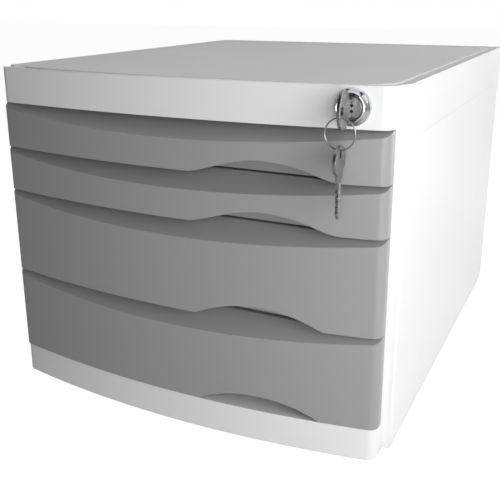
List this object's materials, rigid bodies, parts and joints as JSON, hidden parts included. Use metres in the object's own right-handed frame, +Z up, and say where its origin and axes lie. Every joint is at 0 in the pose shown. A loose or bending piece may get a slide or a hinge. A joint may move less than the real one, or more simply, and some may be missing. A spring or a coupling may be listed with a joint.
{
  "type": "desktop_file_drawer",
  "caption": "Desktop paper drawer cabinet with a bowed front, shallow and deep gray drawers, wave-shaped finger arches and a cam lock with its key in",
  "frame": {"origin": "bottom centre of the bounding box, on the desk", "axes": "+X to the right seen from the front, +Y towards the back, +Z up; drawers open towards -Y"},
  "size_m": [0.3, 0.38, 0.2408],
  "materials": {
    "white_plastic": "smooth semi-gloss moulding",
    "gray_plastic": "smooth semi-gloss moulding",
    "tray_plastic": "satin moulding",
    "chrome": "polished plating",
    "key_nickel": "satin nickel plating",
    "steel": "zinc plated",
    "rubber": "matte"
  },
  "bodies": {
    "casing": {"top_cover": "white_plastic", "left_side_panel": "white_plastic", "right_side_panel": "white_plastic", "back_panel": "white_plastic", "base_plinth": "white_plastic", "rubber_feet": "rubber", "casing_screws": "steel", "lock_housing": "chrome", "lock_nut": "steel", "lock_bar_guides": "tray_plastic"},
    "lock_core": {"lock_plug": "key_nickel", "lock_cam": "steel", "cam_screw": "steel"},
    "locking_bar": {"lock_bar": "steel"},
    "key": {"key_in_lock": "key_nickel"},
    "drawer_1": {"drawer_1_front": "gray_plastic", "drawer_1_tray": "tray_plastic", "drawer_1_screws": "steel"},
    "drawer_2": {"drawer_2_front": "gray_plastic", "drawer_2_tray": "tray_plastic", "drawer_2_screws": "steel"},
    "drawer_3": {"drawer_3_front": "gray_plastic", "drawer_3_tray": "tray_plastic", "drawer_3_screws": "steel"},
    "drawer_4": {"drawer_4_front": "gray_plastic", "drawer_4_tray": "tray_plastic", "drawer_4_screws": "steel"}
  },
  "joints": [
    {"name": "drawer_1_slide", "type": "slide", "parent": "casing", "child": "drawer_1", "axis": [0, -1, 0], "range_m": [0, 0.25]},
    {"name": "drawer_2_slide", "type": "slide", "parent": "casing", "child": "drawer_2", "axis": [0, -1, 0], "range_m": [0, 0.25]},
    {"name": "drawer_3_slide", "type": "slide", "parent": "casing", "child": "drawer_3", "axis": [0, -1, 0], "range_m": [0, 0.25]},
    {"name": "drawer_4_slide", "type": "slide", "parent": "casing", "child": "drawer_4", "axis": [0, -1, 0], "range_m": [0, 0.25]},
    {"name": "lock_turn", "type": "hinge", "parent": "casing", "child": "lock_core", "pos_m": [0.1215, -0.1601, 0.2285], "axis": [0, -1, 0], "range_deg": [0, 90]},
    {"name": "lock_bar_lift", "type": "slide", "parent": "casing", "child": "locking_bar", "axis": [0, 0, 1], "range_m": [0, 0.01131]},
    {"name": "key_withdraw", "type": "slide", "parent": "lock_core", "child": "key", "axis": [0, -1, 0], "range_m": [0, 0.0245]}
  ],
  "couplings": [
    {"joint": "lock_bar_lift", "follows": "lock_turn", "m_per_rad": 0.0072025}
  ]
}
